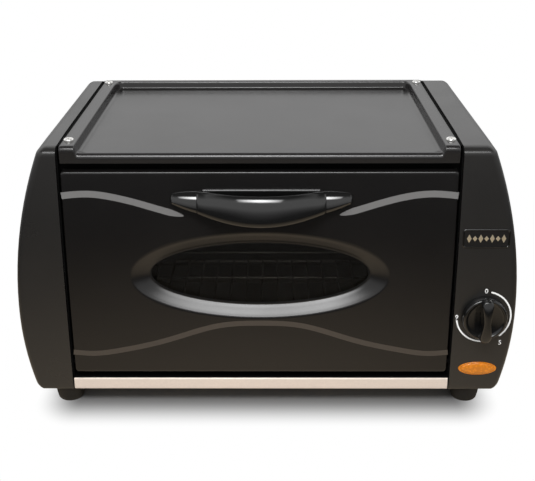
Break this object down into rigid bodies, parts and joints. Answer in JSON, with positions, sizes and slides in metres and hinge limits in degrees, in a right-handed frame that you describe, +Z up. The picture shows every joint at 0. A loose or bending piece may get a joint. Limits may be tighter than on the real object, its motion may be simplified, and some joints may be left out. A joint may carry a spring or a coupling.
{
  "type": "electric tandoor",
  "caption": "Countertop electric tandoor with a drop-down oval-window door, bow handle, tray-shaped top plate, bulged side panels and a rotary thermostat.",
  "frame": {"origin": "middle of the object's footprint, on the plane that the feet stand on", "axes": "+X to the right as seen from the front, -Y out of the front (door side), +Z up"},
  "size_m": [0.5, 0.304, 0.2752],
  "materials": {
    "body_paint": "satin fine-texture dark grey enamel",
    "plate_paint": "satin fine-texture dark grey enamel",
    "door_paint": "smooth black enamel",
    "galvanised_steel": "plain zinc-coated sheet",
    "bright_trim": "bright satin trim",
    "plated_screw": "bright zinc plating",
    "black_rubber": "matte",
    "foot_rubber": "matte black",
    "oven_glass": "clear toughened glass",
    "handle_gloss": "high gloss black",
    "knob_plastic": "gloss black",
    "bush_plastic": "natural moulded plastic",
    "heater_sheath": "oxidised steel sheath",
    "ceramic": "glazed steatite ceramic",
    "rack_chrome": "bright chrome wire",
    "badge_metal": "satin champagne anodised",
    "amber_lens": "translucent amber",
    "probe_metal": "copper capillary and bulb",
    "brass_fitting": "plain brass",
    "wire_sleeve": "glass-fibre sleeving"
  },
  "bodies": {
    "chassis": {"left_side_panel": "body_paint", "right_side_panel": "body_paint", "top_plate": "plate_paint", "top_plate_screws": "plated_screw", "left_end_wall": "galvanised_steel", "right_end_wall": "galvanised_steel", "cavity_front_frame": "galvanised_steel", "cavity_roof": "galvanised_steel", "cavity_rear_wall": "galvanised_steel", "cavity_floor": "galvanised_steel", "base_pan": "galvanised_steel", "front_rail": "bright_trim", "rear_cover": "body_paint", "rear_cover_screws": "plated_screw", "panel_screws": "plated_screw", "foot_screws": "plated_screw", "foot_nuts": "plated_screw", "hinge_bush_left": "bush_plastic", "hinge_bush_right": "bush_plastic", "door_stops": "galvanised_steel", "door_stop_screws": "plated_screw", "upper_heater": "heater_sheath", "lower_heater": "heater_sheath", "heater_insulators": "ceramic", "heater_supports": "galvanised_steel", "rack_runner_left": "galvanised_steel", "rack_runner_right": "galvanised_steel", "wire_rack": "rack_chrome", "badge_plate": "badge_metal", "indicator_lens": "amber_lens", "indicator_lamp": "bush_plastic", "thermostat_body": "bush_plastic", "thermostat_screws": "plated_screw", "thermostat_probe": "probe_metal", "probe_clips": "galvanised_steel", "cable_inlet_bush": "black_rubber", "terminal_block": "bush_plastic", "earth_screw": "brass_fitting", "thermal_cutout": "bush_plastic", "internal_wiring": "wire_sleeve", "foot_front_left": "foot_rubber", "foot_front_right": "foot_rubber", "foot_rear_left": "foot_rubber", "foot_rear_right": "foot_rubber"},
    "door": {"door_skin": "door_paint", "door_inner_panel": "galvanised_steel", "glass_gasket": "black_rubber", "door_glass": "oven_glass", "glass_clips": "plated_screw", "door_handle": "handle_gloss", "handle_screws": "plated_screw", "hinge_pin_left": "plated_screw", "hinge_pin_right": "plated_screw"},
    "knob": {"control_knob": "knob_plastic", "thermostat_shaft": "plated_screw"}
  },
  "joints": [
    {"name": "door_hinge", "type": "hinge", "parent": "chassis", "child": "door", "pos_m": [0, -0.12803, 0.04779], "axis": [1, 0, 0], "range_deg": [0, 90]},
    {"name": "knob_turn", "type": "hinge", "parent": "chassis", "child": "knob", "pos_m": [0.217, -0.13153, 0.1018], "axis": [0, 0.9953, -0.0968], "range_deg": [0, 270]}
  ]
}
